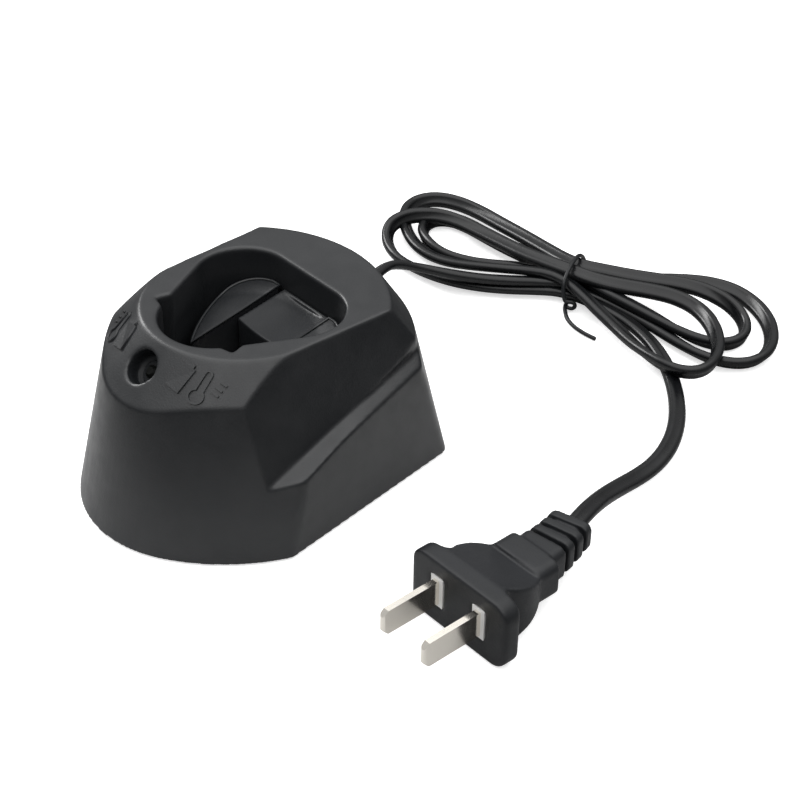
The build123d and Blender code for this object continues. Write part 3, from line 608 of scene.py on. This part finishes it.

# %% [markdown]
# ## The wire tie
# A piece of plastic-coated wire holds the waist of the hank. It is bent by hand: one end is
# curled to a small ring, then the wire goes up, over the strands and back under them, and the
# other end lies on the paper. A torus would look like a machined ring, so we draw the wire the
# way it is bent: one curve through given places, with a round section. It keeps its
# shape, so at the end it becomes a mesh.

# %% The wire tie
tie_radius = 0.00055
tie_route = [
    (0.0031, 0.1012, 0.0015), (0.0039, 0.1016, 0.0011), (0.0047, 0.1023, 0.0014),
    (0.0049, 0.1026, 0.0024), (0.0042, 0.1022, 0.0031), (0.0033, 0.1014, 0.0030),
    (0.0024, 0.1010, 0.0030), (0.0014, 0.1013, 0.0052), (0.0004, 0.1022, 0.0078),
    (-0.0014, 0.1062, 0.0096), (-0.0034, 0.1102, 0.0098), (-0.0050, 0.1138, 0.0090),
    (-0.0060, 0.1168, 0.0062), (-0.0058, 0.1172, 0.0026), (-0.0040, 0.1140, 0.0008),
    (-0.0016, 0.1080, 0.0006), (0.0006, 0.1040, 0.0007), (0.0022, 0.1014, 0.0009),
    (0.0039, 0.0999, 0.0009), (0.0064, 0.0979, 0.0009), (0.0099, 0.0967, 0.0008),
    (0.0134, 0.0965, 0.0007), (0.0162, 0.0967, 0.0007), (0.0178, 0.0969, 0.0007),
]
tie_data = bpy.data.curves.new("wire_tie", "CURVE")
tie_data.dimensions = "3D"
tie_data.resolution_u = 6
tie_data.bevel_depth = tie_radius
tie_data.bevel_resolution = 3
tie_data.use_fill_caps = True
wire = tie_data.splines.new("NURBS")
wire.points.add(len(tie_route) - 1)
for point, place in zip(wire.points, tie_route):
    point.co = (*place, 1)
wire.order_u = 3
wire.use_endpoint_u = True
tie = add_object("wire_tie", tie_data)
make_active(tie)
bpy.ops.object.convert(target="MESH")
bpy.ops.object.shade_smooth()
tie.data.materials.append(finishes["tie"])
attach(tie, "root")
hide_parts("cord_tie")
print("wire tie, faces", len(tie.data.polygons))

# %% [markdown]
# ## The cord
# The cord is a flat twin lead: two insulated wires side by side in one sheath, 4.4 mm wide and
# 2.5 mm thick, with a shallow groove where they join. It leaves the strain relief at the back,
# goes three times round a long loop to the right and a long loop to the left, and ends in the
# plug. A wire tie holds the waist. We could draw it as a mesh, but a curve says best what a cord
# is: one smooth line with a cross-section. The line is a NURBS spline through a route given
# loop by loop. At the tie the seven strands sit in three layers, and each crossing has one
# strand on the floor and the other a thickness above it.

# %% The cord's route, in the order in which the cord runs
exit_strand = [
    (-0.0276, 0.0593, 0.0125), (-0.0298, 0.0643, 0.0125), (-0.031, 0.07, 0.0112),
    (-0.0292, 0.0756, 0.009), (-0.0256, 0.0806, 0.0072), (-0.021, 0.0852, 0.0061),
    (-0.0166, 0.0902, 0.0052), (-0.0122, 0.0952, 0.0048), (-0.0076, 0.101, 0.0044),
]
right_loop_low = [
    (-0.003, 0.1068, 0.0036), (0.003, 0.109, 0.0026), (0.0095, 0.1104, 0.0023),
    (0.017, 0.111, 0.0022), (0.025, 0.111, 0.0022), (0.033, 0.1103, 0.0022),
    (0.0405, 0.1102, 0.0022), (0.0468, 0.1118, 0.0022), (0.0514, 0.1154, 0.0022),
    (0.053, 0.1204, 0.0022), (0.0518, 0.126, 0.0022), (0.048, 0.1316, 0.0022),
    (0.0424, 0.1364, 0.0022), (0.035, 0.1397, 0.0022), (0.0274, 0.1405, 0.0022),
    (0.0208, 0.1382, 0.0022), (0.0155, 0.1338, 0.0022), (0.0106, 0.1284, 0.0022),
    (0.0064, 0.1224, 0.0022), (0.0024, 0.1172, 0.0023),
]
left_loop_inner = [
    (-0.002, 0.1138, 0.0024), (-0.0068, 0.1118, 0.0023), (-0.0126, 0.111, 0.0022),
    (-0.0201, 0.11, 0.0022), (-0.0305, 0.1092, 0.0022), (-0.0394, 0.1092, 0.0022),
    (-0.0458, 0.1089, 0.0022), (-0.0506, 0.1071, 0.0022), (-0.0528, 0.1036, 0.0022),
    (-0.052, 0.0996, 0.0022), (-0.0488, 0.0962, 0.0022), (-0.0444, 0.0943, 0.0022),
    (-0.0398, 0.0937, 0.0022), (-0.0354, 0.0942, 0.0022), (-0.03, 0.0964, 0.0022),
    (-0.0246, 0.1001, 0.0022), (-0.0197, 0.1043, 0.0022), (-0.014, 0.1078, 0.0024),
    (-0.0085, 0.1096, 0.0032),
]
right_loop_back = [
    (-0.003, 0.1103, 0.0043), (0.003, 0.1106, 0.0047), (0.0095, 0.1108, 0.0047),
    (0.017, 0.1114, 0.0046), (0.0245, 0.1122, 0.0041), (0.031, 0.1133, 0.0032),
    (0.037, 0.115, 0.0024), (0.0418, 0.1176, 0.0022), (0.044, 0.1214, 0.0022),
    (0.0436, 0.1258, 0.0024), (0.0408, 0.1292, 0.003), (0.0364, 0.1312, 0.004),
    (0.031, 0.1317, 0.0048), (0.0248, 0.1307, 0.0052), (0.0194, 0.1279, 0.0056),
    (0.0143, 0.1236, 0.0061), (0.0089, 0.119, 0.0066), (0.0027, 0.1152, 0.0069),
]
left_loop_outer = [
    (-0.003, 0.1123, 0.0068), (-0.009, 0.112, 0.0062), (-0.0166, 0.1132, 0.0052),
    (-0.0262, 0.1145, 0.0042), (-0.0371, 0.1155, 0.0032), (-0.0468, 0.1162, 0.0026),
    (-0.0548, 0.1156, 0.0022), (-0.0604, 0.1128, 0.0022), (-0.0629, 0.1083, 0.0022),
    (-0.0624, 0.103, 0.0022), (-0.059, 0.0984, 0.0022), (-0.0544, 0.0948, 0.0022),
    (-0.049, 0.092, 0.0022), (-0.0435, 0.0902, 0.0023), (-0.0375, 0.0898, 0.0025),
    (-0.0315, 0.0908, 0.0031), (-0.025, 0.0932, 0.0042), (-0.0178, 0.0966, 0.0054),
    (-0.0114, 0.1008, 0.0061), (-0.0066, 0.1039, 0.0062),
]
right_loop_front = [
    (-0.002, 0.1052, 0.0058), (0.003, 0.1048, 0.0054), (0.0082, 0.104, 0.0048),
    (0.0134, 0.103, 0.0042), (0.02, 0.1019, 0.0035), (0.0284, 0.0995, 0.0035),
    (0.0358, 0.0976, 0.0043), (0.0416, 0.0968, 0.0049), (0.0462, 0.0978, 0.005),
    (0.0492, 0.1008, 0.005), (0.0494, 0.1054, 0.005), (0.0472, 0.1104, 0.005),
    (0.0439, 0.1146, 0.005), (0.0393, 0.1185, 0.005), (0.0336, 0.1218, 0.0049),
    (0.0275, 0.1233, 0.0049), (0.0215, 0.1222, 0.0052), (0.0166, 0.1186, 0.0059),
    (0.012, 0.1144, 0.0066), (0.0071, 0.111, 0.007), (0.0022, 0.109, 0.0072),
]
left_loop_top = [
    (-0.003, 0.108, 0.0072), (-0.0093, 0.1069, 0.0069), (-0.0171, 0.1059, 0.0063),
    (-0.0264, 0.106, 0.0055), (-0.0355, 0.106, 0.005), (-0.043, 0.1055, 0.0049),
    (-0.049, 0.1038, 0.0049), (-0.0532, 0.1002, 0.0049), (-0.0556, 0.0956, 0.0049),
    (-0.0562, 0.091, 0.004), (-0.0542, 0.0876, 0.0029), (-0.0502, 0.0846, 0.0023),
    (-0.045, 0.0826, 0.0022), (-0.0396, 0.0822, 0.0022), (-0.034, 0.0829, 0.0022),
    (-0.0284, 0.0844, 0.0022), (-0.0229, 0.0868, 0.0022), (-0.0172, 0.0904, 0.0022),
    (-0.0122, 0.0948, 0.0022), (-0.0076, 0.0998, 0.0022),
]
tail_strand = [
    (-0.003, 0.1043, 0.0022), (0.0026, 0.1063, 0.0022), (0.0088, 0.1073, 0.0022),
    (0.0157, 0.1076, 0.0022), (0.0224, 0.1071, 0.0022), (0.029, 0.1054, 0.0022),
    (0.0355, 0.1026, 0.0022), (0.0413, 0.0992, 0.0022), (0.0466, 0.0952, 0.0022),
    (0.0516, 0.0908, 0.0022), (0.0566, 0.0854, 0.0022), (0.0608, 0.0794, 0.0022),
    (0.0639, 0.073, 0.0022), (0.0657, 0.0665, 0.0023), (0.0665, 0.0602, 0.0028),
    (0.0673, 0.0536, 0.004), (0.0688, 0.047, 0.0058), (0.0707, 0.0414, 0.0076),
    (0.0725, 0.0358, 0.0087), (0.0743, 0.0301, 0.0087),
]
cord_route = (
    exit_strand + right_loop_low + left_loop_inner + right_loop_back
    + left_loop_outer + right_loop_front + left_loop_top + tail_strand
)
print("points on the cord's route:", len(cord_route))

# %% [markdown]
# ## The cord's cross-section and its tilt
# The cross-section is a small closed curve of its own: two lobes that overlap, with a groove
# between them. The spline sweeps it along. Twist mode Z_UP keeps the section level, and a tilt of
# some degrees lets the outer edge of every turn lie lower than the inner one, as a stiff flat cord
# does when it is bent. A flat cord resists a bend in its own plane, so in the tight bends it
# also turns partly on edge. We measure how tight the route is at each point, take the average
# over its neighbours, and tilt the section further where that average is high.

# %% The cord's cross-section
cord_width = 0.0044
cord_thickness = 0.0025
cord_groove = 0.0003


def twin_section(width, thickness, groove):
    """Outline of a flat twin cord: two lobes side by side with a groove between them."""
    lobe = thickness / 2
    middle = width / 2 - lobe
    steps = 9
    outline = []
    for side in (1, -1):
        for i in range(steps):
            angle = radians(-100 + 200 * i / (steps - 1))
            outline.append((side * (middle + lobe * cos(angle)), side * lobe * sin(angle)))
        outline.append((0, side * (lobe - groove)))
    return outline


section_data = bpy.data.curves.new("cord_section", "CURVE")
section_line = section_data.splines.new("POLY")
section_points = twin_section(cord_width, cord_thickness, cord_groove)
section_line.points.add(len(section_points) - 1)
for point, (x, y) in zip(section_line.points, section_points):
    point.co = (x, y, 0, 1)
section_line.use_cyclic_u = True
section = add_object("cord_section", section_data)
section.hide_render = True
print("points on the cross-section:", len(section_points))

# %% How tight the route is at each of its points
route = [Vector(place) for place in cord_route]
tightness = []                       # in radians of turn for each metre of cord
for i in range(len(route)):
    before, after = route[max(i - 1, 0)], route[min(i + 1, len(route) - 1)]
    arm, next_arm = route[i] - before, after - route[i]
    bend = arm.angle(next_arm, 0) if arm.length and next_arm.length else 0
    tightness.append(bend / ((after - before).length / 2))
print("tightest bend of the route, radius", round(1 / max(tightness), 4), "m")

# %% The cord
cord_lean = radians(-20)
cord_on_edge = radians(-50)          # further turn in the tightest bends
easy_bend, tight_bend = 25, 85       # 1/m, where that turn starts and where it is whole
neighbours = 3                       # points on each side that the average takes in

cord_data = bpy.data.curves.new("mains_cord", "CURVE")
cord_data.dimensions = "3D"
cord_data.twist_mode = "Z_UP"
cord_data.resolution_u = 8
line = cord_data.splines.new("NURBS")
line.points.add(len(cord_route) - 1)
for i, (point, place) in enumerate(zip(line.points, route)):
    point.co = (*place, 1)
    nearby = tightness[max(i - neighbours, 0):i + neighbours + 1]
    turned = ramp(sum(nearby) / len(nearby), easy_bend, tight_bend)
    point.tilt = cord_lean + cord_on_edge * turned
line.order_u = 3
line.use_endpoint_u = True
cord_data.bevel_mode = "OBJECT"
cord_data.bevel_object = section
cord_data.use_fill_caps = True
cord_data.materials.append(finishes["cord"])
cord = add_object("mains_cord", cord_data)
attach(cord, "root")
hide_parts("cord_lead", "cord_hank", "cord_tail")

# %% [markdown]
# ## The white paper
# The object stands on white paper. It glows a little for the camera and through clear things,
# so that it reads as white and still keeps the object's shadow. Away from the object it grows
# darker in reflections, as if the sheet ended there, because satin black plastic shows mostly
# what it reflects.

# %% The white paper
floor_size = 6.0
paper_white = 0.80
paper_glow = 0.60
paper_reflected = 0.60               # tone that the object mirrors, near it and far away
paper_far_tone = 0.03
paper_near, paper_far = 0.06, 0.18   # distances between which that tone changes

bpy.ops.object.select_all(action="DESELECT")
bpy.ops.mesh.primitive_plane_add(size=floor_size, location=(0, 0, 0))
floor = bpy.context.object
floor.name = "floor"
paper, tree, shader, place = new_finish("white_paper", (paper_white,) * 3, roughness=0.9,
                                        specular=0.1)

rays = tree.nodes.new("ShaderNodeLightPath")
seen = tree.nodes.new("ShaderNodeMath")
seen.operation = "MAXIMUM"
tree.links.new(rays.outputs["Is Camera Ray"], seen.inputs[0])
tree.links.new(rays.outputs["Is Transmission Ray"], seen.inputs[1])

glow = tree.nodes.new("ShaderNodeMath")
glow.operation = "MULTIPLY"
glow.inputs[1].default_value = paper_glow
tree.links.new(seen.outputs["Value"], glow.inputs[0])
tree.links.new(glow.outputs["Value"], shader.inputs["Emission Strength"])
shader.inputs["Emission Color"].default_value = (1, 1, 1, 1)

distance = tree.nodes.new("ShaderNodeVectorMath")
distance.operation = "LENGTH"
tree.links.new(place, distance.inputs[0])
fade = tree.nodes.new("ShaderNodeMapRange")
fade.inputs["From Min"].default_value = paper_near
fade.inputs["From Max"].default_value = paper_far
fade.inputs["To Min"].default_value = paper_reflected
fade.inputs["To Max"].default_value = paper_far_tone
tree.links.new(distance.outputs["Value"], fade.inputs["Value"])
tone = tree.nodes.new("ShaderNodeMix")
tone.data_type = "FLOAT"
tone.inputs["B"].default_value = paper_white
tree.links.new(seen.outputs["Value"], tone.inputs["Factor"])
tree.links.new(fade.outputs["Result"], tone.inputs["A"])
tree.links.new(tone.outputs["Result"], shader.inputs["Base Color"])
floor.data.materials.append(paper)
print("the paper is", floor_size, "m wide")

# %% [markdown]
# ## Light
# A bright ceiling gives the sheen on every face that looks up, an even grey lies below it, and a
# dark horizon keeps the upright sides dark. We paint all three into the world: its colour depends
# only on how high a direction points. One soft lamp on the left draws the light edge of the nose
# and the shadow inside the socket.

# %% The world
world_strength = 1.84
sky_tones = ((0.02, 0.03), (0.35, 0.285), (0.60, 0.30), (0.82, 1.35))    # height and tone there

world = bpy.data.worlds.new("studio")
bpy.context.scene.world = world
world.use_nodes = True
tree = world.node_tree
background = tree.nodes["Background"]
background.inputs["Strength"].default_value = world_strength
direction = tree.nodes.new("ShaderNodeTexCoord")
parts = tree.nodes.new("ShaderNodeSeparateXYZ")
tree.links.new(direction.outputs["Generated"], parts.inputs["Vector"])
ceiling = tree.nodes.new("ShaderNodeValToRGB")
ceiling.color_ramp.interpolation = "EASE"
stops = ceiling.color_ramp.elements
for height, tone in sky_tones:
    stop = stops.new(height)
    stop.color = (tone, tone, tone, 1)
stops.remove(stops[0])
stops.remove(stops[-1])
tree.links.new(parts.outputs["Z"], ceiling.inputs["Fac"])
tree.links.new(ceiling.outputs["Color"], background.inputs["Color"])
print("tones of the sky:", len(sky_tones))

# %% The lamp
lamp_aim = Vector((0, 0.03, 0.02))
lamp_data = bpy.data.lights.new("key_lamp", "AREA")
lamp_data.size = 0.5
lamp_data.energy = 10.5
lamp = add_object("key_lamp", lamp_data)
lamp.location = (-1.3, -0.1, 0.75)
beam = lamp_aim - lamp.location
lamp.rotation_euler = beam.to_track_quat("-Z", "Y").to_euler()
print("the lamp stands", round(beam.length, 2), "m away")
